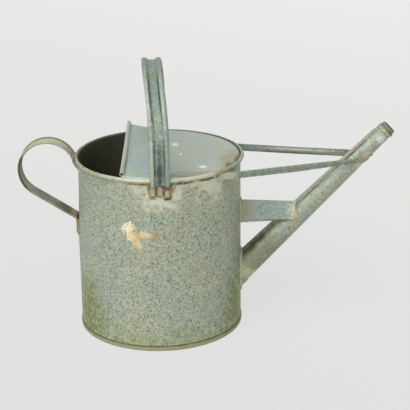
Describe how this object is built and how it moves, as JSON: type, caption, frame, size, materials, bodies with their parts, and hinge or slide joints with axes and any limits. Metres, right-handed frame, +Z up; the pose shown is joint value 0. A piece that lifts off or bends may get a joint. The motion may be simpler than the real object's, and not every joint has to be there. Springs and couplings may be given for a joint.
{
  "type": "rusty watering can",
  "caption": "Weathered galvanised steel watering can with a half-covered mouth, an arched carrying handle, a looped rear handle and a long braced spout.",
  "frame": {"origin": "on the can's axis at floor level", "axes": "+X along the spout, +Z up, -Y towards the side the picture shows"},
  "size_m": [0.4999, 0.238, 0.3662],
  "materials": {
    "wall_sheet": "weathered spangled zinc",
    "cover_sheet": "dull pale zinc",
    "strap": "weathered zinc",
    "wire": "rusted",
    "collar": "dull"
  },
  "bodies": {
    "root": {"body_shell": "wall_sheet", "rim_wire": "wire", "bottom_plate": "wall_sheet", "half_cover": "cover_sheet", "carry_handle": "strap", "rear_handle": "strap", "spout_tube": "cover_sheet", "spout_collar": "collar", "spout_brace": "strap", "spout_stay": "strap"}
  },
  "joints": []
}
